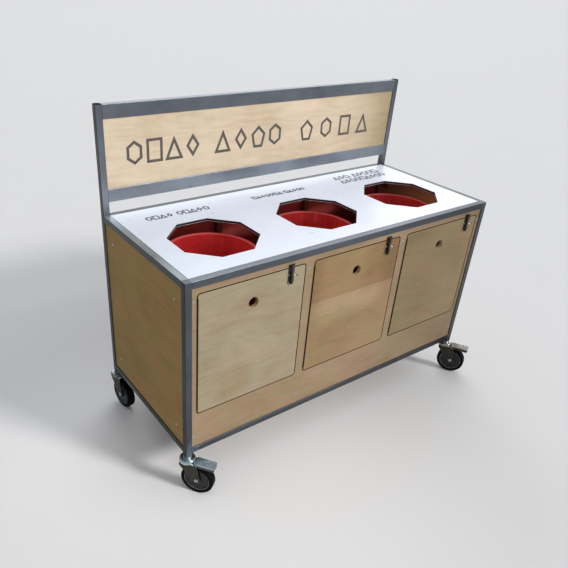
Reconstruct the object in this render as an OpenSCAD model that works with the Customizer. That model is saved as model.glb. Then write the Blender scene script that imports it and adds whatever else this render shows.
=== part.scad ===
// Recycling bin station: a welded box-section frame on four swivel castors, clad in plywood.
// Three bins stand on one shelf behind side-hung doors, under a laminate top with an octagonal
// chute for each bin and a raised sign along the back. Millimetres throughout.
// The origin is on the floor under the middle of the cabinet: +X is right, -Y front, +Z up.

/* [Cabinet] */
// Width over the corner posts
body_w = 1458; // [1430:1:1490]
// Depth over the corner posts
body_d = 615; // [590:1:640]
// Height of the welded frame, from the underside of the bottom rails to the top plane
body_h = 690; // [690:1:720]
// How far the posts run on below the bottom rails
post_drop = 12; // [8:1:16]
// Thickness of the front and side boards
ply_t = 15; // [12:1:15]
// How far each board is set back behind the face of the frame
recess = 4; // [3:0.5:5]
// Thickness of the bin shelf
shelf_t = 12; // [9:1:12]
// Thickness of the rear board
rear_ply_t = 9; // [6:1:12]
// Depth from the top plane to the upper face of the bin shelf
shelf_drop = 508; // [506:1:508]

/* [Box section] */
// Outside size of the square tube
tube = 25; // [25:0.5:26]
// Wall of the tube
wall = 2; // [1.5:0.5:2.5]
// Outside corner radius of the tube
tube_r = 2; // [1:0.5:2.5]

/* [Top] */
// Thickness of the laminate top
top_t = 10; // [8:1:10]
// Size of each octagonal chute across its flats
chute_af = 305; // [280:1:320]
// Distance of the chute centres behind the front of the frame
chute_y = 252; // [230:1:270]

/* [Doors] */
// Height of each door
door_h = 467; // [460:1:467]
// Depth from the top plane to the top edge of the doors
door_drop = 51; // [50:1:52]
// Corner radius of the doors
door_r = 9; // [6:1:12]
// Gap round each door, apart from its hinged edge
door_gap = 4; // [3:0.5:4]
// Width of front board left between two doorways
stile_w = 36.3; // [34:0.1:40]
// Diameter of the finger hole
finger_d = 40; // [35:1:45]
// Depth of the finger hole's centre below the top edge of the door
finger_drop = 89; // [85:1:100]

/* [Latches] */
// Width of the bolt's back plate and of its keeper
latch_w = 26; // [24:1:28]
// Distance from the free edge of the door to the middle of the latch
latch_inset = 62; // [50:1:70]
// Travel of the bolt
bolt_throw = 12; // [10:1:12]
// Radius of the bolt
bolt_r = 4; // [3.5:0.1:4]

/* [Sign] */
// Height of the top of the sign above the top plane
sign_rise = 391; // [370:1:420]
// Open gap between the top plane and the lower rail of the sign
sign_gap = 50; // [40:1:60]
// Height of each rail of the sign
sign_rail_h = 48; // [40:1:50]
// Thickness of the sign board
sign_ply_t = 12; // [9:1:15]

/* [Bins] */
// Diameter of each bin over its rim
bin_d = 352; // [330:1:356]
// Diameter of the foot of each bin
bin_foot_d = 296; // [280:1:300]
// Height of each bin
bin_h = 440; // [420:1:440]
// Wall of the bins
bin_wall = 3; // [2.5:0.5:3.5]
// Distance of the bin centres behind the front of the frame
bin_y = 268; // [250:1:280]

/* [Castors] */
// Diameter of the castor wheels
wheel_d = 125; // [123:1:125]
// Width of the tyre
tyre_w = 32; // [30:1:32]
// Height from the floor to the foot of the posts
castor_h = 157; // [157:0.5:158]
// Distance of the wheel's axle from the swivel axis
trail = 42; // [40:1:43]
// Directions in which the castors trail: front left, front right, rear left, rear right
headings = [-54, -62, -84, -72];

/* [Hidden] */
$fn = 48;

// Colours
STEEL = "#626d76";
PLY = "#cdb28a";
PLY_DARK = "#8f7350";
LAMINATE = "#f2f4f7";
BIN_RED = "#a4161b";
BLACK = "#1c1c1d";
ZINC = "#b9bfc2";
HUB_GREY = "#6d7176";

// Levels above the floor
frame_z = castor_h + post_drop;
top_z = frame_z + body_h;
sign_z = top_z + sign_rise;
shelf_z = top_z - shelf_drop;
rail_top_z = top_z - tube;
rail_low_z = frame_z + tube;

// Faces of the cabinet
half_w = body_w / 2;
half_d = body_d / 2;
in_w = half_w - tube;
in_d = half_d - tube;
board_y = -half_d + recess;
board_back_y = board_y + ply_t;
rear_in_y = half_d - recess - rear_ply_t;

// Bays
BAYS = 3;
pitch = 2 * in_w / BAYS;
function bay_x(i) = (i - (BAYS - 1) / 2) * pitch;
function division_x(i) = (i - BAYS / 2 + 1) * pitch;

// Inner frame: cross tubes lie under the laminate top, uprights stand behind the boards
cross_z = top_z - top_t - tube / 2;
upright_top_z = cross_z - tube / 2;
front_upright_y = board_back_y + tube / 2;
rear_upright_y = rear_in_y - tube / 2;
bearer_z = shelf_z - shelf_t - tube / 2;
weld_gap = 0.2;

// Hinges: a knuckle fills the gap at each door's left edge and stands a little proud of it
knuckle_r = 2.5;
leaf_t = 1;
leaf_w = 14;
pin_r = 1.25;
pin_play = 0.05;
hinge_proud = 1.3;
hinge_margin = 16;
hinge_l = door_h - 2 * hinge_margin;
knuckles = 11;
knuckle_l = hinge_l / knuckles;
knuckle_play = 0.4;
doorway_w = pitch - stile_w;
doorway_h = door_h + 2 * door_gap;
door_w = doorway_w - door_gap - 2 * knuckle_r;
door_z = top_z - door_drop - door_h / 2;
function door_x(i) = bay_x(i) - doorway_w / 2 + 2 * knuckle_r + door_w / 2;
function hinge_x(i) = bay_x(i) - doorway_w / 2 + knuckle_r;
hinge_y = board_y - hinge_proud;

// Latches: a bolt slides up from its straps on the door into a keeper over the doorway
plate_t = 1.5;
latch_h = 56;
keeper_h = 11;
keeper_lift = 4;
bolt_play = 0.08;
bolt_out = plate_t + 1 + bolt_r;
strap_r = 6.5;
strap_h = 6;
strap_z = [12, latch_h - strap_h - 1];
handle_r = 2.3;
handle_l = 16;
handle_ball_r = 3.4;
handle_angle = -35;
handle_up = strap_z[1] - bolt_throw - handle_r - 0.4;
latch_top_z = top_z - door_drop - 1;
keeper_z = top_z - door_drop + keeper_lift;
function latch_x(i) = door_x(i) + door_w / 2 - latch_inset;

// Screws: countersunk, flush with the boards
screw_head_r = 4.5;
screw_head_h = 2.6;
screw_r = 2;
screw_play = 0.1;
fascia_screw_x = [-half_w + 33, division_x(0), division_x(1), half_w - 33];
fascia_screw_z = [top_z - 73, top_z - 619];
side_screw_y = [-half_d + 77, half_d - 77];
side_screw_z = [top_z - 90, top_z - 602];
cleat_t = 3;
cleat_h = 30;

// Bins
bin_r = bin_d / 2;
skirt_h = 14;
skirt_out = 8;

// Castors, worked out about the swivel axis with the wheel trailing along +X
wheel_r = wheel_d / 2;
hub_r = 49;
shoulder_r = 5;
axle_r = 5;
run_play = 0.05;
leg_in = 18;
leg_t = 2.5;
leg_out = leg_in + leg_t;
boss_r = 15;
crown_t = 3;
crown_z = castor_h - 24;
head_r = 30;
head_z = crown_z + crown_t;
head_top_z = castor_h - 7;
stem_r = 6;
collar_r = 15;
collar_gap = 0.3;
rivet_r = 10;
rivet_h = 4.5;
plug_w = tube - 2 * wall - 0.4;
plug_h = 30;
pedal_pin = [33, crown_z - 3];
pedal_pin_r = 2.5;
pedal_start = head_r + 1.5;
pedal_end = 108;
pedal_w = 40;
pedal_t = 2.5;
pedal_z = head_z + 3;

function castor_x(i) = (i % 2 == 0 ? -1 : 1) * (half_w - tube / 2);
function castor_y(i) = (i < 2 ? -1 : 1) * (half_d - tube / 2);

// ---------------------------------------------------------------- shared shapes

module rounded_rect(w, h, r) {
    square([w - 2 * r, h], center = true);
    square([w, h - 2 * r], center = true);
    for (sx = [-1, 1], sy = [-1, 1])
        translate([sx * (w / 2 - r), sy * (h / 2 - r)])
            circle(r = r);
}

module tube_section(w = tube, h = tube) {
    difference() {
        rounded_rect(w, h, tube_r);
        square([w - 2 * wall, h - 2 * wall], center = true);
    }
}

module tube_up(x, y, z0, z1) {
    translate([x, y, z0])
        linear_extrude(z1 - z0)
            tube_section();
}

module tube_across(x0, x1, y, z, h = tube) {
    translate([x0, y, z])
        rotate([90, 0, 90])
            linear_extrude(x1 - x0)
                tube_section(tube, h);
}

module tube_back(x, y0, y1, z) {
    translate([x, y0, z])
        rotate([-90, 0, 0])
            linear_extrude(y1 - y0)
                tube_section();
}

// A board cut to a flat outline drawn in X and Z, with its front face at y
module upright_board(y, t) {
    translate([0, y + t, 0])
        rotate([90, 0, 0])
            linear_extrude(t)
                children();
}

// A board cut to a flat outline drawn in Y and Z, with its left face at x
module end_board(x, t) {
    translate([x, 0, 0])
        rotate([90, 0, 90])
            linear_extrude(t)
                children();
}

// ---------------------------------------------------------------- frame

module corner_post(i) {
    rear = i > 1;
    end_z = rear ? sign_z : top_z;
    color(STEEL) {
        tube_up(castor_x(i), castor_y(i), castor_h, end_z);
        if (!rear)
            translate([castor_x(i), castor_y(i), top_z - wall])
                linear_extrude(wall)
                    rounded_rect(tube, tube, tube_r);
    }
}

module front_left_post() { corner_post(0); }
module front_right_post() { corner_post(1); }
module rear_left_post() { corner_post(2); }
module rear_right_post() { corner_post(3); }

module long_rail(side, z) {
    color(STEEL)
        tube_across(-in_w, in_w, side * (half_d - tube / 2), z);
}

module top_front_rail() { long_rail(-1, top_z - tube / 2); }
module top_rear_rail() { long_rail(1, top_z - tube / 2); }
module bottom_front_rail() { long_rail(-1, frame_z + tube / 2); }
module bottom_rear_rail() { long_rail(1, frame_z + tube / 2); }

module end_rails() {
    color(STEEL)
        for (side = [-1, 1], z = [top_z - tube / 2, frame_z + tube / 2])
            tube_back(side * (half_w - tube / 2), -in_d, in_d, z);
}

module inner_frame() {
    color(STEEL) {
        for (i = [0 : BAYS - 2]) {
            tube_back(division_x(i), -in_d, in_d, cross_z);
            tube_back(division_x(i), -in_d, in_d, frame_z + tube / 2);
            for (y = [front_upright_y, rear_upright_y])
                tube_up(division_x(i), y, rail_low_z + weld_gap, upright_top_z - weld_gap);
        }
        for (i = [0 : BAYS - 1], y = [front_upright_y, rear_upright_y]) {
            left = bay_x(i) - pitch / 2 + (i > 0 ? tube / 2 + weld_gap : 0);
            right = bay_x(i) + pitch / 2 - (i < BAYS - 1 ? tube / 2 + weld_gap : 0);
            tube_across(left, right, y, bearer_z);
        }
    }
}

// Steel tabs inside the corner posts, which the outer screws of each board reach
module panel_cleats() {
    long_l = side_screw_y[0] + in_d + 10;
    short_l = 20;
    color(STEEL) {
        for (z = fascia_screw_z, side = [-1, 1]) {
            x = side > 0 ? in_w - short_l : -in_w;
            translate([x, board_back_y, z - cleat_h / 2])
                cube([short_l, cleat_t, cleat_h]);
            translate([x, rear_in_y - cleat_t, z - cleat_h / 2])
                cube([short_l, cleat_t, cleat_h]);
        }
        for (z = side_screw_z, side = [-1, 1], end = [-1, 1]) {
            x = side > 0 ? half_w - recess - ply_t - cleat_t : -half_w + recess + ply_t;
            y = end > 0 ? in_d - long_l : -in_d;
            translate([x, y, z - cleat_h / 2])
                cube([cleat_t, long_l, cleat_h]);
        }
    }
}

module sign_rails() {
    color(STEEL)
        for (z = [top_z + sign_gap + sign_rail_h / 2, sign_z - sign_rail_h / 2])
            tube_across(-in_w, in_w, half_d - tube / 2, z, sign_rail_h);
}

module post_end_caps() {
    cap_h = 2.5;
    dome_r = 70;
    insert_h = 14;
    color(BLACK)
        for (i = [2, 3])
            translate([castor_x(i), castor_y(i), sign_z]) {
                intersection() {
                    linear_extrude(cap_h)
                        rounded_rect(tube, tube, tube_r);
                    translate([0, 0, cap_h - dome_r])
                        sphere(r = dome_r);
                }
                translate([-plug_w / 2, -plug_w / 2, -insert_h])
                    cube([plug_w, plug_w, insert_h]);
            }
}

// ---------------------------------------------------------------- boards

module sign_panel() {
    low = top_z + sign_gap + sign_rail_h;
    high = sign_z - sign_rail_h;
    color(PLY)
        upright_board(half_d - tube + recess, sign_ply_t)
            translate([0, (low + high) / 2])
                square([2 * in_w, high - low], center = true);
}

module white_top() {
    edge_play = 0.5;
    corner_r = chute_af / 2 / cos(180 / 8);
    color(LAMINATE)
        translate([0, 0, top_z - top_t])
            linear_extrude(top_t)
                difference() {
                    square([2 * (in_w - edge_play), 2 * (in_d - edge_play)], center = true);
                    for (i = [0 : BAYS - 1])
                        translate([bay_x(i), -half_d + chute_y])
                            rotate(180 / 8)
                                circle(r = corner_r, $fn = 8);
                }
}

module front_fascia() {
    color(PLY)
        difference() {
            upright_board(board_y, ply_t)
                difference() {
                    translate([-in_w, rail_low_z])
                        square([2 * in_w, rail_top_z - rail_low_z]);
                    for (i = [0 : BAYS - 1])
                        translate([bay_x(i), door_z])
                            rounded_rect(doorway_w, doorway_h, door_r + door_gap);
                }
            fascia_screws(screw_play);
        }
}

module side_panel(side) {
    x = side > 0 ? half_w - recess - ply_t : -half_w + recess;
    color(PLY)
        difference() {
            end_board(x, ply_t)
                translate([-in_d, rail_low_z])
                    square([2 * in_d, rail_top_z - rail_low_z]);
            side_screws(screw_play);
        }
}

module left_side_panel() { side_panel(-1); }
module right_side_panel() { side_panel(1); }

module rear_panel() {
    color(PLY)
        difference() {
            upright_board(rear_in_y, rear_ply_t)
                translate([-in_w, rail_low_z])
                    square([2 * in_w, rail_top_z - rail_low_z]);
            rear_screws(screw_play);
        }
}

// One board through all three bays, notched round the uprights; its front edge also stops
// the foot of each door
module bin_shelf() {
    stop_play = 0.5;
    front = board_back_y + stop_play;
    back = rear_in_y - stop_play;
    color(PLY_DARK)
        translate([0, 0, shelf_z - shelf_t])
            linear_extrude(shelf_t)
                difference() {
                    translate([-in_w, front])
                        square([2 * in_w, back - front]);
                    for (i = [0 : BAYS - 2], y = [front_upright_y, rear_upright_y])
                        translate([division_x(i), y])
                            square([tube, tube], center = true);
                }
}

// Battens between the uprights, which the heads of the doors close against
module door_stops() {
    stop_play = 0.5;
    batten = 18;
    overlap = 6;
    color(PLY_DARK)
        for (i = [0 : BAYS - 1]) {
            left = bay_x(i) - pitch / 2 + (i > 0 ? tube / 2 : 0);
            right = bay_x(i) + pitch / 2 - (i < BAYS - 1 ? tube / 2 : 0);
            translate([left, board_back_y + stop_play, top_z - door_drop - overlap])
                cube([right - left, batten, batten]);
        }
}

// ---------------------------------------------------------------- screws

// One countersunk screw with its head's face at the origin, or its hole where play is over 0
module screw(length, play) {
    tip = length + (play > 0 ? 1 : 0);
    translate([0, 0, -screw_head_h])
        cylinder(r1 = screw_r + play, r2 = screw_head_r + play, h = screw_head_h);
    translate([0, 0, -tip])
        cylinder(r = screw_r + play, h = tip - screw_head_h);
    if (play > 0)
        cylinder(r = screw_head_r + play, h = 1);
}

module fascia_screws(play = 0) {
    for (x = fascia_screw_x, z = fascia_screw_z)
        translate([x, board_y, z])
            rotate([90, 0, 0])
                screw(ply_t, play);
}

module rear_screws(play = 0) {
    for (x = fascia_screw_x, z = fascia_screw_z)
        translate([x, rear_in_y + rear_ply_t, z])
            rotate([-90, 0, 0])
                screw(rear_ply_t, play);
}

module side_screws(play = 0) {
    for (side = [-1, 1], y = side_screw_y, z = side_screw_z)
        translate([side * (half_w - recess), y, z])
            rotate([0, side * 90, 0])
                screw(ply_t, play);
}

module panel_screws() {
    color(ZINC) {
        fascia_screws();
        rear_screws();
        side_screws();
    }
}

// ---------------------------------------------------------------- bins

module bin(i) {
    wall_r = bin_r - skirt_out;
    foot_r = bin_foot_d / 2;
    lip_r = bin_wall / 2;
    color(BIN_RED)
        translate([bay_x(i), -half_d + bin_y, shelf_z])
            rotate_extrude($fn = 96) {
                polygon([
                    [0, 0],
                    [foot_r, 0],
                    [wall_r, bin_h - lip_r],
                    [wall_r, bin_h],
                    [wall_r - bin_wall, bin_h],
                    [foot_r - bin_wall, bin_wall],
                    [0, bin_wall],
                ]);
                translate([wall_r - bin_wall, bin_h - bin_wall])
                    square([skirt_out + bin_wall - lip_r, bin_wall]);
                translate([bin_r - bin_wall, bin_h - skirt_h])
                    square([bin_wall, skirt_h - lip_r]);
                translate([bin_r - lip_r, bin_h - lip_r])
                    circle(r = lip_r);
            }
}

module left_bin() { bin(0); }
module middle_bin() { bin(1); }
module right_bin() { bin(2); }

// ---------------------------------------------------------------- doors

module door(i) {
    color(PLY)
        upright_board(board_y, ply_t)
            difference() {
                translate([door_x(i), door_z])
                    rounded_rect(door_w, door_h, door_r);
                translate([door_x(i), door_z + door_h / 2 - finger_drop])
                    circle(d = finger_d);
            }
}

module left_door() { door(0); }
module middle_door() { door(1); }
module right_door() { door(2); }

// One leaf of a hinge about the Z axis; the door's leaf is on +X and owns the odd knuckles
module hinge_leaf(side) {
    own = side > 0 ? 1 : 0;
    swing_r = knuckle_r + knuckle_play;
    difference() {
        union() {
            translate([side > 0 ? knuckle_r - leaf_t : -knuckle_r, 0, 0])
                cube([leaf_t, leaf_w, hinge_l]);
            for (k = [own : 2 : knuckles - 1])
                translate([0, 0, k * knuckle_l + knuckle_play / 2])
                    cylinder(r = knuckle_r, h = knuckle_l - knuckle_play);
        }
        for (k = [1 - own : 2 : knuckles - 1])
            translate([-swing_r, -swing_r, k * knuckle_l - knuckle_play / 2])
                cube([2 * swing_r, 2 * swing_r, knuckle_l + knuckle_play]);
        cylinder(r = pin_r + pin_play, h = 3 * hinge_l, center = true);
    }
}

module on_hinge(i) {
    translate([hinge_x(i), hinge_y, door_z - hinge_l / 2])
        children();
}

module hinge_fixed_leaves() {
    color(BLACK)
        for (i = [0 : BAYS - 1])
            on_hinge(i)
                hinge_leaf(-1);
}

module hinge_pins() {
    color(BLACK)
        for (i = [0 : BAYS - 1])
            on_hinge(i)
                cylinder(r = pin_r, h = hinge_l);
}

module left_hinge_leaf() { color(BLACK) on_hinge(0) hinge_leaf(1); }
module middle_hinge_leaf() { color(BLACK) on_hinge(1) hinge_leaf(1); }
module right_hinge_leaf() { color(BLACK) on_hinge(2) hinge_leaf(1); }

// ---------------------------------------------------------------- latches

// Section of a strap bridging the bolt, drawn in X and Y with the mounting face on y = 0
module strap_section(hole_r) {
    difference() {
        union() {
            translate([0, -bolt_out])
                circle(r = strap_r);
            translate([-strap_r, -bolt_out])
                square([2 * strap_r, bolt_out]);
            translate([-latch_w / 2, -plate_t])
                square([latch_w, plate_t]);
        }
        translate([0, -bolt_out])
            circle(r = hole_r);
    }
}

module latch_body(i) {
    color(BLACK)
        translate([latch_x(i), board_y, latch_top_z - latch_h]) {
            translate([-latch_w / 2, -plate_t, 0])
                cube([latch_w, plate_t, latch_h]);
            for (z = strap_z)
                translate([0, 0, z])
                    linear_extrude(strap_h)
                        strap_section(bolt_r + bolt_play);
        }
}

module left_latch_body() { latch_body(0); }
module middle_latch_body() { latch_body(1); }
module right_latch_body() { latch_body(2); }

module latch_bolt(i) {
    color(BLACK)
        translate([latch_x(i), board_y - bolt_out, latch_top_z - latch_h]) {
            cylinder(r = bolt_r, h = latch_h - 1);
            translate([0, 0, latch_h - 1])
                cylinder(r1 = bolt_r, r2 = bolt_r - 1, h = 1);
            translate([0, 0, handle_up])
                rotate([0, 90, handle_angle]) {
                    cylinder(r = handle_r, h = handle_l);
                    translate([0, 0, handle_l])
                        sphere(r = handle_ball_r);
                }
        }
}

module left_latch_bolt() { latch_bolt(0); }
module middle_latch_bolt() { latch_bolt(1); }
module right_latch_bolt() { latch_bolt(2); }

module latch_keepers() {
    color(BLACK)
        for (i = [0 : BAYS - 1])
            translate([latch_x(i), board_y, keeper_z])
                linear_extrude(keeper_h)
                    strap_section(bolt_r + 3 * screw_play);
}

// ---------------------------------------------------------------- castors

module at_castor(i) {
    translate([castor_x(i), castor_y(i), 0])
        rotate(headings[i])
            children();
}

// Revolves a section drawn as [radius, width] about the wheel's axle
module about_axle() {
    translate([trail, 0, wheel_r])
        rotate([90, 0, 0])
            rotate_extrude($fn = 96)
                children();
}

module castor_stems() {
    rivet_top = crown_z - collar_gap;
    stem_in = 10;
    color(ZINC)
        for (i = [0 : 3])
            at_castor(i) {
                translate([0, 0, rivet_top - rivet_h])
                    cylinder(r = rivet_r, h = rivet_h);
                translate([0, 0, rivet_top])
                    cylinder(r = stem_r, h = castor_h + stem_in - rivet_top);
                translate([0, 0, head_top_z + collar_gap])
                    cylinder(r = collar_r, h = castor_h - head_top_z - collar_gap);
                rotate(-headings[i])
                    translate([-plug_w / 2, -plug_w / 2, castor_h])
                        cube([plug_w, plug_w, plug_h]);
            }
}

// Side of a fork leg, drawn in X and Z, with a hole for the pedal's pin where it has a brake
module leg_outline(braked) {
    back = -24;
    ear = 46;
    drop = 16;
    heel = boss_r - 2;
    difference() {
        union() {
            polygon([
                [back, head_z],
                [back, head_z - drop],
                [trail + heel * cos(230), wheel_r + heel * sin(230)],
                [trail + heel, wheel_r],
                [ear, head_z - drop],
                [ear, head_z],
            ]);
            translate([trail, wheel_r])
                circle(r = boss_r);
        }
        translate([trail, wheel_r])
            circle(r = axle_r + run_play);
        if (braked)
            translate(pedal_pin)
                circle(r = pedal_pin_r + run_play);
    }
}

module fork(i) {
    crown_w = 48;
    head_low_h = 7;
    shoulder = 5;
    color(ZINC)
        at_castor(i)
            difference() {
                union() {
                    for (side = [-1, 1])
                        translate([0, side * (leg_in + leg_t / 2) + leg_t / 2, 0])
                            rotate([90, 0, 0])
                                linear_extrude(leg_t)
                                    leg_outline(i < 2);
                    translate([-crown_w / 2, -leg_out, crown_z])
                        cube([crown_w, 2 * leg_out, crown_t]);
                    translate([0, 0, head_z])
                        rotate_extrude($fn = 96) {
                            square([head_r - shoulder, head_top_z - head_z]);
                            square([head_r, head_low_h]);
                            translate([head_r - shoulder, head_low_h])
                                circle(r = shoulder);
                        }
                }
                translate([0, 0, crown_z - 1])
                    cylinder(r = stem_r + run_play, h = castor_h - crown_z);
            }
}

module front_left_fork() { fork(0); }
module front_right_fork() { fork(1); }
module rear_left_fork() { fork(2); }
module rear_right_fork() { fork(3); }

// Axle bolt with a domed head on the outer side and a hexagonal nut on the other
module axle(i) {
    head_h = 3.5;
    dome_r = 10;
    nut_r = 8.5;
    nut_h = 5;
    color(ZINC)
        at_castor(i)
            translate([trail, 0, wheel_r])
                rotate([90, 0, 0]) {
                    translate([0, 0, -leg_out])
                        cylinder(r = axle_r, h = 2 * leg_out);
                    translate([0, 0, leg_out])
                        intersection() {
                            cylinder(r = nut_r, h = head_h);
                            translate([0, 0, head_h - dome_r])
                                sphere(r = dome_r);
                        }
                    translate([0, 0, -leg_out - nut_h])
                        cylinder(r = nut_r, h = nut_h, $fn = 6);
                }
}

module front_left_axle() { axle(0); }
module front_right_axle() { axle(1); }
module rear_left_axle() { axle(2); }
module rear_right_axle() { axle(3); }

// Moulded wheel centre: a boss, a flat disc, a groove and a raised rim
module hub(i) {
    boss = 13;
    boss_half_w = leg_in - 1;
    disc_r = 42;
    disc_half_w = 12;
    groove_r = 46;
    groove_half_w = 7;
    rim_half_w = 14;
    bore_r = axle_r + run_play;
    color(HUB_GREY)
        at_castor(i)
            about_axle() {
                translate([bore_r, -boss_half_w])
                    square([boss - bore_r, 2 * boss_half_w]);
                translate([bore_r, -disc_half_w])
                    square([disc_r - bore_r, 2 * disc_half_w]);
                translate([bore_r, -groove_half_w])
                    square([hub_r - bore_r, 2 * groove_half_w]);
                translate([groove_r, -rim_half_w])
                    square([hub_r - groove_r, 2 * rim_half_w]);
            }
}

module front_left_hub() { hub(0); }
module front_right_hub() { hub(1); }
module rear_left_hub() { hub(2); }
module rear_right_hub() { hub(3); }

module tyre(i) {
    color(BLACK)
        at_castor(i)
            about_axle() {
                translate([hub_r, -tyre_w / 2])
                    square([wheel_r - shoulder_r - hub_r, tyre_w]);
                translate([hub_r, -tyre_w / 2 + shoulder_r])
                    square([wheel_r - hub_r, tyre_w - 2 * shoulder_r]);
                for (side = [-1, 1])
                    translate([wheel_r - shoulder_r, side * (tyre_w / 2 - shoulder_r)])
                        circle(r = shoulder_r);
            }
}

module front_left_tyre() { tyre(0); }
module front_right_tyre() { tyre(1); }
module rear_left_tyre() { tyre(2); }
module rear_right_tyre() { tyre(3); }

// Outline of the pedal's tread, drawn in from its edge by inset
module pedal_outline(inset) {
    corner = 6;
    translate([(pedal_start + pedal_end) / 2, 0])
        rounded_rect(pedal_end - pedal_start - 2 * inset, pedal_w - 2 * inset, corner - inset);
}

// Brake pedal: a ribbed tread over a folded skirt, on a pin through the ears of the fork
module pedal(i) {
    tread_inset = 6;
    side_start = 49;
    side_h = 11;
    lug_w = 2.5;
    lug_out = leg_in - 1;
    lug_r = 5;
    rib_w = 2;
    rib_h = 1;
    rib_step = 5;
    shoe = [12, 24, 10.5];
    color(ZINC)
        at_castor(i) {
            translate([0, 0, pedal_z])
                linear_extrude(pedal_t)
                    pedal_outline(0);
            translate([0, 0, pedal_z - side_h])
                linear_extrude(side_h)
                    difference() {
                        pedal_outline(0);
                        pedal_outline(lug_w);
                        translate([0, -pedal_w / 2])
                            square([side_start, pedal_w]);
                    }
            for (side = [-1, 1])
                translate([0, side * (lug_out - lug_w / 2) + lug_w / 2, 0])
                    rotate([90, 0, 0])
                        linear_extrude(lug_w) {
                            translate(pedal_pin)
                                circle(r = lug_r);
                            translate([pedal_pin[0] - lug_r, pedal_pin[1]])
                                square([2 * lug_r, pedal_z - pedal_pin[1]]);
                        }
            translate([pedal_pin[0], leg_out + 2, pedal_pin[1]])
                rotate([90, 0, 0])
                    cylinder(r = pedal_pin_r, h = 2 * leg_out + 4);
            translate([side_start, -shoe[1] / 2, pedal_z - shoe[2]])
                cube(shoe);
            for (x = [pedal_end - 44 : rib_step : pedal_end - rib_w - 2])
                translate([x, -pedal_w / 2 + tread_inset, pedal_z + pedal_t])
                    cube([rib_w, pedal_w - 2 * tread_inset, rib_h]);
        }
}

module front_left_pedal() { pedal(0); }
module front_right_pedal() { pedal(1); }

// ---------------------------------------------------------------- assembly

front_left_post();
front_right_post();
rear_left_post();
rear_right_post();
top_front_rail();
top_rear_rail();
bottom_front_rail();
bottom_rear_rail();
end_rails();
inner_frame();
panel_cleats();
sign_rails();
sign_panel();
post_end_caps();
white_top();
front_fascia();
left_side_panel();
right_side_panel();
rear_panel();
bin_shelf();
door_stops();
panel_screws();
left_bin();
middle_bin();
right_bin();
hinge_fixed_leaves();
hinge_pins();
latch_keepers();
castor_stems();
left_door();
middle_door();
right_door();
left_hinge_leaf();
middle_hinge_leaf();
right_hinge_leaf();
left_latch_body();
middle_latch_body();
right_latch_body();
left_latch_bolt();
middle_latch_bolt();
right_latch_bolt();
front_left_fork();
front_right_fork();
rear_left_fork();
rear_right_fork();
front_left_axle();
front_right_axle();
rear_left_axle();
rear_right_axle();
front_left_hub();
front_right_hub();
rear_left_hub();
rear_right_hub();
front_left_tyre();
front_right_tyre();
rear_left_tyre();
rear_right_tyre();
front_left_pedal();
front_right_pedal();
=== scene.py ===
"""Recycling bin station: materials, small details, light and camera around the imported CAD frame."""

import math

import bmesh
import bpy
from mathutils import Matrix, Vector


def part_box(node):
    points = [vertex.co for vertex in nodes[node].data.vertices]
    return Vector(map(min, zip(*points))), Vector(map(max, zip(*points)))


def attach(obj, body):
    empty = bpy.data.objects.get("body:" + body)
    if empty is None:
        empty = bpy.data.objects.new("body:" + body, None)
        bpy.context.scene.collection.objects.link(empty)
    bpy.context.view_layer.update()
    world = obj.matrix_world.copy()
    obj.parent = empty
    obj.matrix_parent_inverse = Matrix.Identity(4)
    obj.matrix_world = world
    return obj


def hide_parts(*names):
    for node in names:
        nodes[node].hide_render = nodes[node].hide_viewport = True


MM = 0.001
X, Y, Z = 0, 1, 2
FRONT, BACK, UP, DOWN = (Vector(v) for v in ((0, -1, 0), (0, 1, 0), (0, 0, 1), (0, 0, -1)))
BAYS = ("left", "middle", "right")
CORNERS = ("front_left", "front_right", "rear_left", "rear_right")

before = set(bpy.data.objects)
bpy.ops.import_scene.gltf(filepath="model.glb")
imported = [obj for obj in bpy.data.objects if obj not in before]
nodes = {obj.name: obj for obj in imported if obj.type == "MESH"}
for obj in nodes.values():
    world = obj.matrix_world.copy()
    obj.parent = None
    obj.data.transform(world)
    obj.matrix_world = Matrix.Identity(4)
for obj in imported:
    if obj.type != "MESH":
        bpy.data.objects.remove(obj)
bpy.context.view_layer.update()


def srgb(red, green, blue):
    """A colour given as 0 to 255 screen values, in linear light."""
    return tuple(
        c / 12.92 if c <= 0.04045 else ((c + 0.055) / 1.055) ** 2.4
        for c in (red / 255, green / 255, blue / 255)
    )


# ---------------------------------------------------------------- materials


class Tree:
    """Short ways to add nodes to an emptied node tree."""

    def __init__(self, tree):
        self.tree = tree
        self.tree.nodes.clear()

    def node(self, kind, *values, out=0, **props):
        added = self.tree.nodes.new("ShaderNode" + kind)
        for key, value in props.items():
            setattr(added, key, value)
        for index, value in enumerate(values):
            self.feed(added.inputs[index], value)
        return added.outputs[out]

    def feed(self, socket, value):
        if isinstance(value, bpy.types.NodeSocket):
            self.tree.links.new(value, socket)
        elif value is not None:
            held = socket.default_value
            if hasattr(held, "__len__") and len(value) < len(held):
                value = (*value, 1)
            socket.default_value = value

    def math(self, operation, a, b=0.0, clamp=False):
        return self.node("Math", a, b, operation=operation, use_clamp=clamp)

    def levels(self, value, low, high, start=0.0, end=1.0, smooth=False):
        interpolation = "SMOOTHSTEP" if smooth else "LINEAR"
        return self.node(
            "MapRange", value, low, high, start, end, interpolation_type=interpolation
        )

    def mix(self, factor, a, b, blend="MIX"):
        added = self.tree.nodes.new("ShaderNodeMix")
        added.data_type = "RGBA"
        added.blend_type = blend
        for index, value in ((0, factor), (6, a), (7, b)):
            self.feed(added.inputs[index], value)
        return added.outputs[2]

    def tinted(self, colour, multiplier, factor=1.0):
        """The colour multiplied by another, as far as factor says."""
        return self.mix(factor, colour, self.mix(1.0, colour, multiplier, "MULTIPLY"))

    def split(self, vector):
        added = self.tree.nodes.new("ShaderNodeSeparateXYZ")
        self.feed(added.inputs[0], vector)
        return added.outputs


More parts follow.
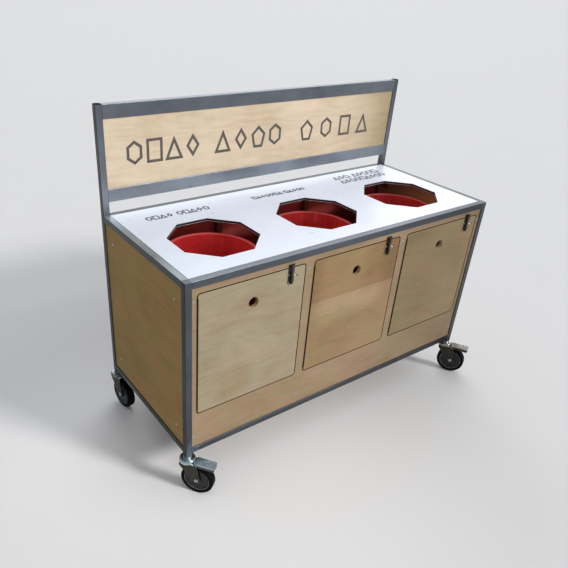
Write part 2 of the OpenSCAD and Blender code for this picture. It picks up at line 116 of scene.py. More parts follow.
class Shader(Tree):
    """A procedural material. Its textures sit in the object's own frame."""

    def __init__(self, name, **constants):
        self.material = bpy.data.materials.new(name)
        self.material.use_nodes = True
        super().__init__(self.material.node_tree)
        output = self.tree.nodes.new("ShaderNodeOutputMaterial")
        self.surface = self.tree.nodes.new("ShaderNodeBsdfPrincipled")
        self.tree.links.new(self.surface.outputs[0], output.inputs[0])
        self.place = self.node("TexCoord", out="Object")
        for socket, value in constants.items():
            self.surface.inputs[socket.replace("_", " ")].default_value = value

    def set(self, **sockets):
        for socket, value in sockets.items():
            self.feed(self.surface.inputs[socket.replace("_", " ")], value)
        return self.material

    def stretched(self, scale, shift=(0, 0, 0), vector=None):
        vector = self.place if vector is None else vector
        return self.node("Mapping", vector, shift, (0, 0, 0), scale)

    def noise(self, scale, shift=(0, 0, 0), detail=3.0, rough=0.55, vector=None):
        """Noise between 0 and 1, with its own number of features per metre along each axis."""
        spot = self.stretched(scale, shift, vector)
        return self.node("TexNoise", spot, None, 1.0, detail, rough)

    def ramp(self, value, *stops):
        added = self.tree.nodes.new("ShaderNodeValToRGB")
        points = added.color_ramp.elements
        while len(points) < len(stops):
            points.new(0.5)
        for point, (position, colour) in zip(points, stops):
            point.position = position
            point.color = (*colour, 1)
        self.feed(added.inputs[0], value)
        return added.outputs[0]

    def bump(self, height, distance, under=None):
        """Height from 0 to 1 as relief of that depth in metres."""
        added = self.tree.nodes.new("ShaderNodeBump")
        self.feed(added.inputs["Height"], height)
        added.inputs["Distance"].default_value = distance
        if under is not None:
            self.feed(added.inputs["Normal"], under)
        return added.outputs[0]

    def wear(self, radius, low=0.02, high=0.25):
        """1 on the outer edges, 0 on the flats, found from how a rounded normal turns away."""
        rounded = self.node("Bevel", radius, samples=6)
        true = self.node("NewGeometry", out=1)
        dot = self.node("VectorMath", rounded, true, operation="DOT_PRODUCT", out=1)
        return self.levels(self.math("SUBTRACT", 1.0, dot), low, high)

    def axes(self):
        return self.split(self.place)


def grey(value):
    return (value, value, value)


def times(colour, *factors):
    """A colour multiplied by one number, or by one for each channel."""
    return tuple(c * k for c, k in zip(colour, factors if len(factors) > 1 else factors * 3))


def along(axis, fine, coarse):
    """Noise scales that are stretched along one axis."""
    return tuple(coarse if i == axis else fine for i in range(3))


CAD_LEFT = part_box("front_left_post")[0].x
RAIL_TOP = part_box("top_front_rail")[1].z
FACE_SKIN = 0.8 * MM


def steel(name, axis, shift=(0, 0, 0), shade=1.0, right=1.0, left_face=None, top_face=None):
    """Drawn box section under a thin clear coat: soft draw lines, clouded scale, bare arrises.

    shade scales the whole tone, painted shade for tubes that get less light. right is what is left
    of the tone at the right end, painted shade. left_face multiplies the outer left side, painted
    shade, and top_face the faces level with the top of the cabinet, painted light where it is over 1
    and painted shade where it is under 1.
    """
    s = Shader(name, Metallic=0.68, Specular_IOR_Level=0.30)
    cloud = s.noise((7, 7, 7), shift, 4)
    lines = s.noise(along(axis, 900, 5), shift, 2)
    specks = s.levels(s.noise((420, 420, 420), shift, 2), 0.66, 0.74)
    edge = s.wear(1.6 * MM)
    tone = s.math("ADD", s.math("MULTIPLY", cloud, 0.7), s.math("MULTIPLY", lines, 0.3))
    colour = s.ramp(
        tone,
        (0.32, (0.118, 0.136, 0.160)),
        (0.52, (0.156, 0.178, 0.206)),
        (0.72, (0.200, 0.222, 0.246)),
    )
    # Painted shade and light by height: the tubes are darkest near the floor, painted shade,
    # and palest at the sign's lower rail, painted light bounced off the white top
    height = s.levels(s.axes()[Z], 0.1, 1.3)
    pale = s.ramp(height, (0.06, grey(0.27)), (0.30, grey(0.40)), (0.63, grey(0.41)),
                  (0.67, grey(1.0)), (0.73, grey(1.0)), (0.93, grey(0.60)))
    colour = s.mix(1.0, colour, pale, "MULTIPLY")
    # Painted shade: the tone is scaled by shade and falls off towards the right
    gain = 1.45 * shade
    dim = s.levels(s.axes()[X], 0.0, 0.75, gain, gain * right)
    colour = s.node("VectorMath", colour, None, None, dim, operation="SCALE")
    # Painted shade on the outer left side; painted light or shade on the top faces, as top_face is
    # over or under 1
    if left_face:
        outer = s.math("LESS_THAN", s.axes()[X], CAD_LEFT + FACE_SKIN)
        colour = s.tinted(colour, left_face, outer)
    if top_face:
        top_lighting = s.math("GREATER_THAN", s.axes()[Z], RAIL_TOP - FACE_SKIN)
        colour = s.tinted(colour, top_face, top_lighting)
    colour = s.mix(s.math("MULTIPLY", specks, 0.5), colour, (0.05, 0.053, 0.057))
    worn = s.math("MULTIPLY", edge, s.levels(s.noise((60, 60, 60), shift), 0.35, 0.6, 0.25, 1))
    colour = s.mix(s.math("MULTIPLY", worn, 0.8), colour, (0.42, 0.45, 0.47))
    rough = s.levels(tone, 0.3, 0.75, 0.26, 0.42)
    relief = s.bump(lines, 0.05 * MM, s.bump(cloud, 0.2 * MM))
    return s.set(Base_Color=colour, Roughness=rough, Normal=relief)


def plywood(name, node, across, grain, tone, shift, plies=11, patches=(), stains=(),
            inner_face_light=None, seam=0.0, mottle=1.0, gloss=0.28):
    """Birch ply: soft rotary-cut figure, fine fibres and flecks, and its layers on cut edges.

    patches and stains are boxes in the sheet's plane: (u0, u1, v0, v1, softness, multiplier).
    Patches hold painted shade as well as real changes of veneer, and stains are real stains.
    The face on the low side can be given its own colour, which is painted shade and red bounce
    light from the bins inside the cabinet. Cut edges closer than seam to the sheet's outline are
    darkened brown, painted shade in the gaps. mottle is the strength of the olive and russet
    clouding, and gloss the specular level.
    """
    low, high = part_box(node)
    s = Shader(name, Specular_IOR_Level=gloss)
    parts = s.axes()
    rise = 3 - across - grain
    u, v, w = parts[grain], parts[rise], parts[across]
    sheet = s.node("CombineXYZ", u, v, w)

    warp = s.noise((1.9, 6, 1), shift, 2, vector=sheet)
    bent = s.node("CombineXYZ", u, s.math("ADD", v, s.math("MULTIPLY", warp, 0.12)), w)
    field = s.noise((1.0, 3.6, 1), shift, 2.5, 0.5, bent)
    rings = s.levels(s.math("SINE", s.math("MULTIPLY", field, 120.0)), -1.0, 1.0)
    strength = s.noise((2.2, 3, 1), tuple(c + 4 for c in shift), 2, vector=sheet)
    strength = s.levels(strength, 0.35, 0.65)
    figure = s.mix(strength, grey(0.5), s.node("CombineXYZ", rings, rings, rings))
    streak = s.noise((5, 55, 1), shift, 4, 0.6, bent)
    fibre = s.noise((16, 950, 40), shift, 3, vector=sheet)
    curl = s.noise((26, 3.4, 1), shift, 2, vector=bent)
    blotch = s.noise((4.2, 6.5, 1), shift, 4, vector=sheet)
    flecks = s.levels(s.noise((60, 1300, 40), shift, 1, vector=sheet), 0.64, 0.76)
    contour = s.math("FRACT", s.math("MULTIPLY", field, 26.0))
    contour = s.math("ABSOLUTE", s.math("SUBTRACT", contour, 0.5))
    patchy = s.levels(s.noise((6, 11, 1), shift, 4, vector=sheet), 0.48, 0.66)
    veins = s.math("MULTIPLY", s.levels(contour, 0.050, 0.0), patchy)
    cells = s.node("TexVoronoi", s.stretched((3.1, 4.3, 1), shift, sheet), voronoi_dimensions="2D")
    knots = s.levels(cells, 0.004, 0.014, 1.0, 0.0, smooth=True)

    mark = 0.0
    for part, share in (
        (figure, 0.045), (streak, 0.29), (fibre, 0.205), (curl, 0.08), (blotch, 0.38),
    ):
        mark = s.math("ADD", s.math("MULTIPLY", part, share), mark)
    dark = times(tone, 0.84, 0.79, 0.72)
    light = times(tone, 1.13, 1.15, 1.20)
    colour = s.ramp(mark, (0.36, dark), (0.50, tone), (0.64, light))
    hue = s.ramp(s.noise((5.0, 11.0, 1), tuple(c + 9 for c in shift), 6, 0.62, bent),
                 (0.40, (0.95, 1.00, 0.87)), (0.60, (1.05, 0.955, 0.93)))
    colour = s.tinted(colour, hue, mottle)
    for boxes, cloudy in ((patches, False), (stains, True)):
        for u0, u1, v0, v1, soft, tint in boxes:
            mask = s.levels(u, u0 - soft, u0 + soft, smooth=True)
            for value, a, b in ((u, u1 + soft, u1 - soft), (v, v0 - soft, v0 + soft),
                                (v, v1 + soft, v1 - soft)):
                mask = s.math("MULTIPLY", mask, s.levels(value, a, b, smooth=True))
            if cloudy:
                mask = s.math("MULTIPLY", mask, s.levels(blotch, 0.40, 0.60))
            colour = s.tinted(colour, tint, mask)
    colour = s.mix(s.math("MULTIPLY", flecks, 0.28), colour, times(dark, 0.45))
    colour = s.mix(s.math("MULTIPLY", veins, 0.34 * mottle), colour, times(dark, 0.60))
    colour = s.mix(s.math("MULTIPLY", knots, 0.65), colour, times(dark, 0.30))

    depth = s.levels(w, low[across], high[across], 0, plies)
    layer = s.math("FRACT", depth)
    odd = s.math("FRACT", s.math("MULTIPLY", s.math("FLOOR", depth), 0.5))
    glue = s.math("LESS_THAN", s.math("ABSOLUTE", s.math("SUBTRACT", layer, 0.5)), 0.40)
    cross = s.noise((300, 300, 300), shift, 3)
    pale = s.ramp(cross, (0.3, (0.50, 0.35, 0.21)), (0.7, (0.70, 0.51, 0.32)))
    end_grain = s.ramp(cross, (0.3, (0.14, 0.080, 0.040)), (0.7, (0.30, 0.185, 0.100)))
    edge = s.mix(s.math("GREATER_THAN", odd, 0.25), pale, end_grain)
    edge = s.mix(glue, (0.06, 0.03, 0.015), edge)
    # Cut edges near the outline are darkened brown: painted shade in the gaps round the doors
    if seam:
        border = s.math("SUBTRACT", u, low[grain])
        for a, b in ((high[grain], u), (v, low[rise]), (high[rise], v)):
            border = s.math("MINIMUM", border, s.math("SUBTRACT", a, b))
        gap_shade = s.math("LESS_THAN", border, seam)
        edge = s.tinted(edge, (0.15, 0.088, 0.046), gap_shade)
    skin = 0.25 * MM
    off_low = s.math("GREATER_THAN", w, low[across] + skin)
    off_high = s.math("LESS_THAN", w, high[across] - skin)
    on_edge = s.math("MULTIPLY", off_low, off_high)
    colour = s.mix(on_edge, colour, edge)
    # The inner face on the low side gets painted shade and red bounce light from the bins
    if inner_face_light:
        inside = s.mix(blotch, inner_face_light, times(inner_face_light, 1.3))
        colour = s.mix(s.math("LESS_THAN", w, low[across] + skin), colour, inside)

    rough = s.levels(fibre, 0.3, 0.7, 0.39, 0.54)
    rough = s.math("ADD", rough, s.math("MULTIPLY", on_edge, 0.50), clamp=True)
    relief = s.bump(fibre, 0.06 * MM, s.bump(blotch, 0.2 * MM))
    return s.set(Base_Color=colour, Roughness=rough, Normal=relief)


def laminate(name, node):
    """Matt white laminate: rubbed smudges and hairline scratches, with a dark core on cut edges."""
    low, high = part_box(node)
    s = Shader(name)
    height = s.axes()[Z]
    smudge = s.noise((9, 9, 9), (3, 1, 0), 4, 0.6)
    peel = s.noise((700, 700, 700), (0, 4, 2), 2)
    hair = s.noise((3, 420, 1), (5, 0, 0), 2)
    hair = s.levels(hair, 0.70, 0.76)
    face = s.ramp(smudge, (0.3, (0.645, 0.700, 0.760)), (0.7, (0.690, 0.740, 0.795)))
    face = s.mix(s.math("MULTIPLY", hair, 0.18), face, (0.56, 0.58, 0.61))
    # The top grows lighter and bluer towards the right: painted light
    painted_light_across = s.mix(s.levels(s.axes()[X], low.x, high.x), (0.94, 0.95, 1.0), (1.08, 1.07, 1.14))
    face = s.mix(1.0, face, painted_light_across, "MULTIPLY")
    decor = 0.7 * MM
    core = s.math("MULTIPLY", s.math("GREATER_THAN", height, low.z + decor),
                  s.math("LESS_THAN", height, high.z - decor))
    dust = s.noise((240, 240, 240))
    grime = s.ramp(dust, (0.3, (0.012, 0.011, 0.011)), (0.7, (0.035, 0.03, 0.03)))
    colour = s.mix(core, face, grime)
    rough = s.levels(smudge, 0.3, 0.7, 0.26, 0.42)
    return s.set(Base_Color=colour, Roughness=rough, Normal=s.bump(peel, 0.02 * MM))


def plastic(name, dark, light, rough, grain, shift=(0, 0, 0), scuff=0.0, depth=0.04 * MM,
            rim=None, **constants):
    """Moulded plastic or rubber: a slight mottle, a moulded grain and paler rubbed edges.

    rim is the height of a rolled lip, whose last few millimetres are painted paler as a highlight.
    """
    s = Shader(name, **constants)
    mottle = s.noise((11, 11, 11), shift, 4)
    pimple = s.noise((grain, grain, grain), shift, 2)
    colour = s.ramp(mottle, (0.32, dark), (0.70, light))
    streak = s.levels(s.noise((90, 90, 7), shift, 3), 0.60, 0.74)
    worn = s.math("ADD", s.math("MULTIPLY", s.wear(1.8 * MM), 0.8), streak, clamp=True)
    pale = tuple(min(1, c * 1.6 + 0.05) for c in light)
    colour = s.mix(s.math("MULTIPLY", worn, scuff), colour, pale)
    # The top of the lip is painted paler: a painted highlight along the bin's rim
    if rim:
        lip = s.levels(s.axes()[Z], rim - 4 * MM, rim - 2 * MM)
        rubbed = tuple(min(1, c * 1.7 + 0.10) for c in light)
        colour = s.mix(s.math("MULTIPLY", lip, 0.6), colour, rubbed)
    roughness = s.levels(mottle, 0.3, 0.7, rough - 0.06, rough + 0.08)
    relief = s.bump(pimple, depth)
    return s.set(Base_Color=colour, Roughness=roughness, Normal=relief)


def plated(name, tint=(0.60, 0.62, 0.64), rough=0.30, shift=(0, 0, 0), shade=0.55,
           above=None, ribs=None):
    """Bright zinc: cloudy passivation with a straw and a blue cast, dull spots, rubbed edges.

    above is (level, multiplier): the metal over that height is brighter by that much, as a
    painted highlight.
    ribs is a direction that pressed grip ridges, also over that height, run square to.
    """
    s = Shader(name, Metallic=0.95)
    cloud = s.noise((38, 38, 38), shift, 4)
    cast = s.noise((16, 16, 16), tuple(c + 7 for c in shift), 3)
    spots = s.levels(s.noise((260, 260, 260), shift, 3), 0.60, 0.72)
    base = s.ramp(cloud, (0.3, times(tint, shade)), (0.7, tint))
    straw = s.mix(s.levels(cast, 0.45, 0.65), (1.0, 0.93, 0.78), (0.86, 0.94, 1.0))
    colour = s.tinted(base, straw, 0.55)
    colour = s.mix(s.math("MULTIPLY", spots, 0.45), colour, (0.22, 0.22, 0.22))
    roughness = s.levels(cloud, 0.3, 0.7, rough + 0.16, rough - 0.04)
    if above:
        level, gain = above
        # Over the level the metal is made brighter: a painted highlight
        top_lighting = s.levels(s.axes()[Z], level - MM, level + MM)
        colour = s.tinted(colour, gain, top_lighting)
        roughness = s.math("SUBTRACT", roughness, s.math("MULTIPLY", top_lighting, 0.12))
    relief = s.bump(cloud, 0.25 * MM)
    if ribs:
        rib_pitch = 5.8 * MM
        run = s.node("VectorMath", s.place, ribs, operation="DOT_PRODUCT", out=1)
        wave = s.math("SINE", s.math("MULTIPLY", run, 2 * math.pi / rib_pitch))
        ridge = s.levels(wave, -0.5, 0.7)
        groove = s.math("MULTIPLY", s.math("SUBTRACT", 1.0, ridge), top_lighting)
        # The grooves between the ribs are darkened: painted shade
        colour = s.tinted(colour, grey(0.35), s.math("MULTIPLY", groove, 0.70))
        relief = s.bump(s.math("SUBTRACT", 1.0, groove), 0.5 * MM, relief)
    colour = s.mix(s.math("MULTIPLY", s.wear(1.2 * MM), 0.5), colour, (0.78, 0.80, 0.82))
    return s.set(Base_Color=colour, Roughness=roughness, Normal=relief)


def black_steel(name, shift=(0, 0, 0), bare_from=None, bare_to=None):
    """Hammered black coat on steel, chipped and rubbed back to metal along the edges.

    Between two places along X the coat is off altogether, a bare band put there as a painted
    highlight on the handle.
    """
    s = Shader(name)
    peel = s.noise((520, 520, 520), shift, 2)
    chips = s.levels(s.noise((210, 210, 210), shift, 3), 0.52, 0.60)
    bare = s.math("MULTIPLY", s.wear(1.2 * MM, 0.03, 0.20), chips)
    if bare_from is not None:
        x = s.axes()[X]
        # The bare band on the handle stands for its highlight: a painted highlight
        fade = 0.5 * MM
        rubbed = s.math("MULTIPLY", s.levels(x, bare_from - fade, bare_from),
                        s.levels(x, bare_to, bare_to - fade))
        bare = s.math("MAXIMUM", bare, rubbed)
    hammer = s.noise((260, 260, 260), shift, 3)
    colour = s.ramp(peel, (0.3, (0.012, 0.011, 0.010)), (0.7, (0.028, 0.025, 0.022)))
    colour = s.mix(bare, colour, (0.80, 0.80, 0.78))
    rough = s.levels(peel, 0.3, 0.7, 0.28, 0.44)
    relief = s.bump(peel, 0.06 * MM, s.bump(hammer, 0.6 * MM))
    return s.set(Base_Color=colour, Metallic=bare, Roughness=rough, Normal=relief)


def weld_metal(name):
    """Weld bead: silvery crown with brown and blue heat colours and fine ripple grain."""
    s = Shader(name, Metallic=0.9)
    heat = s.noise((120, 120, 120), (2, 9, 4), 3)
    colour = s.ramp(heat, (0.34, (0.10, 0.11, 0.15)), (0.48, (0.26, 0.24, 0.23)),
                    (0.66, (0.42, 0.43, 0.45)))
    rough = s.levels(heat, 0.3, 0.7, 0.30, 0.5)
    return s.set(Base_Color=colour, Roughness=rough, Normal=s.bump(heat, 0.2 * MM))


def paint(name, colour, spread=0.25):
    """Thin screen-printed ink: slightly uneven cover, matt."""
    s = Shader(name)
    cover = s.noise((160, 160, 160), (1, 2, 3), 4)
    tone = s.ramp(cover, (0.3, times(colour, 1 - spread)), (0.7, times(colour, 1 + spread)))
    rough = s.levels(cover, 0.3, 0.7, 0.50, 0.68)
    return s.set(Base_Color=tone, Roughness=rough, Normal=s.bump(cover, 0.03 * MM))


def finish_nodes(material, *names):
    """Gives one material to every surface of the named nodes."""
    for name in names:
        data = nodes[name].data
        if not data.materials:
            data.materials.append(material)
        for index in range(len(data.materials)):
            data.materials[index] = material


def axle_line(corner):
    """The middle of a wheel, and its axle's direction from the long axis of the axle's points."""
    low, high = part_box(corner + "_hub")
    spots = [v.co for v in nodes[corner + "_axle"].data.vertices]
    middle = sum(spots, Vector()) / len(spots)
    xx = sum((p.x - middle.x) ** 2 for p in spots)
    yy = sum((p.y - middle.y) ** 2 for p in spots)
    xy = sum((p.x - middle.x) * (p.y - middle.y) for p in spots)
    angle = math.atan2(2 * xy, xx - yy) / 2
    return (low + high) / 2, Vector((math.cos(angle), math.sin(angle), 0))


FRONT_BIRCH = (0.301, 0.218, 0.138)
OLIVE_BIRCH = (0.325, 0.272, 0.188)
RUSSET_BIRCH = (0.279, 0.189, 0.102)
SHADED_RIGHT_BIRCH = (0.210, 0.156, 0.084)
SIGN_BIRCH = (0.650, 0.535, 0.395)
SHADED_SIDE_BIRCH = (0.314, 0.203, 0.075)
SHELF_BIRCH = (0.330, 0.225, 0.125)
STOP_BIRCH = (0.100, 0.055, 0.026)

# These tone factors paint light and shade onto one steel finish: darker tubes, darkening to the
# right, shaded left sides and lighter or darker tops
finish_nodes(steel("steel_up", Z, shade=0.92, right=0.75, left_face=(0.15, 0.125, 0.095)),
             *(c + "_post" for c in CORNERS))
finish_nodes(steel("steel_front", X, (4, 1, 2), right=0.30, top_face=grey(1.5)),
             "top_front_rail", "bottom_front_rail")
finish_nodes(steel("steel_across", X, (8, 3, 2)), "sign_rails")
finish_nodes(steel("steel_rear", X, (2, 5, 6), 0.55, top_face=grey(0.5)),
             "top_rear_rail", "bottom_rear_rail")
finish_nodes(steel("steel_back", Y, (1, 6, 3), 0.62, right=0.25, left_face=(0.60, 0.66, 0.56),
                   top_face=(4.1, 4.2, 3.9)), "end_rails")

# Cut edges this close to a door's outline are darkened brown, painted shade in the door gaps,
# and those of the finger hole stay pale. All of the fascia's cut edges are darkened so. The
# fascia and the sign board darken towards the right, painted shade.
GAP_SHADE_REACH, ALL_EDGES = 16 * MM, 1.0
finish_nodes(plywood("ply_fascia", "front_fascia", Y, X, FRONT_BIRCH, (0.3, 0, 0), patches=(
    (0.34, 1.5, 0.0, 1.2, 0.40, (0.62, 0.60, 0.585)),
), seam=ALL_EDGES), "front_fascia")
finish_nodes(plywood("ply_sign", "sign_panel", Y, X, SIGN_BIRCH, (9.1, 3, 0), 9, patches=(
    (0.60, 1.5, 0.5, 2.0, 0.24, (0.42, 0.38, 0.23)),
), mottle=0.35), "sign_panel")
# The rear and right boards' inner faces carry painted shade and red bounce light
finish_nodes(plywood("ply_rear", "rear_panel", Y, X, FRONT_BIRCH, (5.5, 7, 0), 7,
                     inner_face_light=(0.27, 0.042, 0.036)), "rear_panel")
# The left side board is darker and warmer than the front: painted shade
finish_nodes(plywood("ply_left", "left_side_panel", X, Y, SHADED_SIDE_BIRCH, (2.2, 5, 0), gloss=0.05),
             "left_side_panel")
finish_nodes(plywood("ply_right", "right_side_panel", X, Y, FRONT_BIRCH, (7.4, 2, 0),
                     inner_face_light=(0.20, 0.098, 0.046)), "right_side_panel")
finish_nodes(plywood("ply_door_left", "left_door", Y, X, OLIVE_BIRCH, (3.1, 8, 0),
                     stains=((-0.60, -0.47, 0.36, 0.48, 0.04, (0.86, 0.80, 0.66)),), seam=GAP_SHADE_REACH,
                     mottle=0.65), "left_door")
# The middle door's face veneer has a joint, with a darker sheet over it
joint_z = 0.632
finish_nodes(plywood("ply_door_middle", "middle_door", Y, X, RUSSET_BIRCH, (6.6, 4, 0), patches=(
    (-0.18, 0.15, joint_z - 0.09, joint_z + 0.4, 0.05, (1.26, 1.36, 1.50)),
    (-0.3, 0.3, joint_z, joint_z + 0.3, 0.0004, (0.80, 0.73, 0.62)),
    (0.055, 0.3, joint_z, joint_z + 0.3, 0.06, (0.92, 0.86, 0.82)),
), seam=GAP_SHADE_REACH), "middle_door")
# The right door is darker than the others: painted shade, as the front darkens to the right
finish_nodes(plywood("ply_door_right", "right_door", Y, X, SHADED_RIGHT_BIRCH, (8.7, 1, 0), seam=GAP_SHADE_REACH),
             "right_door")
finish_nodes(plywood("ply_shelf", "bin_shelf", Z, X, SHELF_BIRCH, (4.2, 9, 0), 9), "bin_shelf")
# The door stops are far darker than the other boards: painted shade seen through the door gaps
finish_nodes(plywood("ply_stop", "door_stops", Z, X, STOP_BIRCH, (2.9, 6, 0), 13), "door_stops")

finish_nodes(laminate("white_laminate", "white_top"), "white_top")
BIN_REDS = (0.180, 0.0082, 0.0092), (0.225, 0.0125, 0.0135)
# The middle and right bins are darker by BIN_SHADES: painted shade, as less light reaches them
BIN_SHADES = 1.0, 0.80, 0.66
for number, side in enumerate(BAYS):
    deep, bright = (times(tone, BIN_SHADES[number]) for tone in BIN_REDS)
    red = plastic("red_plastic_" + side, deep, bright, 0.32, 240, (number * 3, 0, number), 0.30,
                  rim=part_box(side + "_bin")[1].z, Specular_IOR_Level=0.36)
    finish_nodes(red, side + "_bin")
    finish_nodes(black_steel("black_steel_" + side, (number, 2, 5)), side + "_latch_body")
    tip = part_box(side + "_latch_bolt")[1].x
    handle = black_steel("handle_steel_" + side, (number, 5, 2), tip - 12.5 * MM, tip - 5.5 * MM)
    finish_nodes(handle, side + "_latch_bolt")
finish_nodes(black_steel("black_steel_fixed"), "latch_keepers")
# The hinges are near black brown: painted shade, so they read as part of the dark door gaps
gap_dark_hinge = plastic("hinge_steel", (0.010, 0.006, 0.004), (0.020, 0.012, 0.008), 0.66, 420,
                  (1, 8, 5), 0.15, Specular_IOR_Level=0.18)
finish_nodes(gap_dark_hinge, "hinge_fixed_leaves", "hinge_pins", *(side + "_hinge_leaf" for side in BAYS))

black_plastic = plastic("black_plastic", grey(0.003), grey(0.006), 0.60, 480, scuff=0.04,
                        Specular_IOR_Level=0.03)
# The inner frame and cleats are dark red brown: painted shade with red bounce light from the bins
red_shade_steel = plastic("inner_red_shade", (0.085, 0.020, 0.016), (0.125, 0.030, 0.023), 0.62, 300,
                 (3, 3, 9), 0.12)
rubber = plastic("tyre_rubber", grey(0.002), grey(0.005), 0.62, 380, scuff=0.05, depth=0.1 * MM,
                 Specular_IOR_Level=0.06)
zinc = plated("zinc_plate")
CROWN_Z, TREAD_Z = 133.5 * MM, 138.5 * MM
# The forks and pedals are dark zinc, a painted reflection of dark ground, with painted highlights
# above the crown and the tread; the front right and rear ones are darker copies, painted shade
zinc_fork = plated("zinc_fork", (0.060, 0.060, 0.045), 0.28, (3, 1, 8),
                   above=(CROWN_Z, (8.6, 10.6, 15.0)))
shaded_fork = plated("shaded_fork", (0.052, 0.048, 0.036), 0.28, (2, 7, 4),
                   above=(CROWN_Z, (6.6, 7.4, 10.0)))
rear_fork = plated("rear_fork", (0.015, 0.016, 0.013), 0.32, (9, 1, 4),
                   above=(CROWN_Z, (13, 14.5, 18)))
zinc_pedal = plated("zinc_pedal", (0.082, 0.080, 0.064), 0.28, (5, 2, 1),
                    above=(TREAD_Z, (8.6, 12.2, 19.0)), ribs=axle_line("front_left")[1].cross(UP))
shaded_pedal = plated("shaded_pedal", (0.060, 0.056, 0.046), 0.28, (6, 2, 3),
                    above=(TREAD_Z, grey(2.7)), ribs=axle_line("front_right")[1].cross(UP))
finish_nodes(black_plastic, "post_end_caps")
finish_nodes(red_shade_steel, "inner_frame", "panel_cleats")
finish_nodes(zinc, "panel_screws", "castor_stems", *(c + "_axle" for c in CORNERS))
finish_nodes(zinc_fork, "front_left_fork")
finish_nodes(rear_fork, "rear_left_fork", "rear_right_fork")
finish_nodes(shaded_fork, "front_right_fork")
finish_nodes(zinc_pedal, "front_left_pedal")
finish_nodes(shaded_pedal, "front_right_pedal")
finish_nodes(rubber, *(c + "_tyre" for c in CORNERS))


def wheel_centre(corner, shift):
    """Moulded grey wheel centre with faint radial flow lines; its raised rim is painted pale as a
    highlight and its groove near black as painted shade.
    """
    centre, axle = axle_line(corner)
    s = Shader("hub_" + corner, Specular_IOR_Level=0.30)
    offset = s.node("VectorMath", s.place, centre, operation="SUBTRACT")
    across = s.node("VectorMath", offset, axle, operation="CROSS_PRODUCT")
    radius = s.node("VectorMath", across, operation="LENGTH", out=1)
    spoke = s.node("VectorMath", across, operation="NORMALIZE")
    flow = s.noise((7, 7, 7), shift, 3, vector=spoke)
    grain = s.noise((420, 420, 420), shift, 2)
    out_r = 50 * MM
    boss, disc, rim = (r * MM / out_r for r in (13.2, 41.8, 45.8))
    blur = 0.5 * MM / out_r
    # The raised rim's pale ring is a painted highlight, and the groove's near black painted shade
    colour = s.ramp(
        s.levels(radius, 0.0, out_r),
        (boss - blur, (0.034, 0.039, 0.044)), (boss + blur, (0.011, 0.015, 0.020)),
        (disc - blur, (0.017, 0.0235, 0.030)), (disc + blur, grey(0.003)),
        (rim - blur, grey(0.003)), (rim + blur, (0.235, 0.245, 0.260)),
    )
    colour = s.mix(1.0, colour, s.ramp(flow, (0.38, grey(0.70)), (0.62, grey(1.0))), "MULTIPLY")
    colour = s.mix(s.math("MULTIPLY", s.wear(1.5 * MM), 0.35), colour, (0.20, 0.21, 0.22))
    rough = s.levels(flow, 0.3, 0.7, 0.34, 0.48)
    return s.set(Base_Color=colour, Roughness=rough, Normal=s.bump(grain, 0.04 * MM))


for number, corner in enumerate(CORNERS):
    finish_nodes(wheel_centre(corner, (number, 2 * number, 0)), corner + "_hub")


# ---------------------------------------------------------------- new pieces


def piece(name, mesh_maker, material, body, smooth_angle=35):
    """A new mesh piece made by mesh_maker(bm), riding on a body and given one material."""
    bm = bmesh.new()
    mesh_maker(bm)
    bmesh.ops.recalc_face_normals(bm, faces=bm.faces)
    mesh = bpy.data.meshes.new(name)
    for face in bm.faces:
        face.smooth = True
    limit = math.radians(smooth_angle)
    for edge in bm.edges:
        edge.smooth = len(edge.link_faces) != 2 or edge.calc_face_angle(0) < limit
    bm.to_mesh(mesh)
    bm.free()
    made = bpy.data.objects.new(name, mesh)
    mesh.materials.append(material)
    bpy.context.scene.collection.objects.link(made)
    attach(made, body)
    return made


def loft(bm, rings):
    """Skins a list of equal rings of points, and closes both ends."""
    rows = [[bm.verts.new(p) for p in ring] for ring in rings]
    count = len(rows[0])
    for a, b in zip(rows, rows[1:]):
        for i in range(count):
            bm.faces.new((a[i], a[(i + 1) % count], b[(i + 1) % count], b[i]))
    bm.faces.new(rows[0][::-1])
    bm.faces.new(rows[-1])


def facing(normal):
    """A turn that takes +Z to normal."""
    return UP.rotation_difference(normal).to_matrix()


def bead(bm, start, end, side_a, side_b, leg=3.2 * MM):
    """A rippled fillet weld along an inside corner, between the faces that look along two sides."""
    sink = 0.4 * MM
    step = 0.55 * MM
    pitch = 1.9 * MM
    run = end - start
    count = max(6, int(run.length / step))
    rings = []
    for i in range(count + 1):
        t = i / count
        taper = min(1, 6 * t + 0.45, 6 * (1 - t) + 0.45)
        swell = 0.5 + 0.5 * math.cos(2 * math.pi * (t * run.length / pitch))
        size = leg * taper * (0.90 + 0.10 * swell)
        centre = start + run * t - (side_a + side_b) * sink
        ring = [centre]
        for k in range(7):
            angle = k / 6 * math.pi / 2
            bulge = 1 - 0.30 * math.sin(2 * angle)
            ring.append(centre + (side_a * math.cos(angle) + side_b * math.sin(angle))
                        * (size + sink) * bulge)
        rings.append(ring)
    loft(bm, rings)


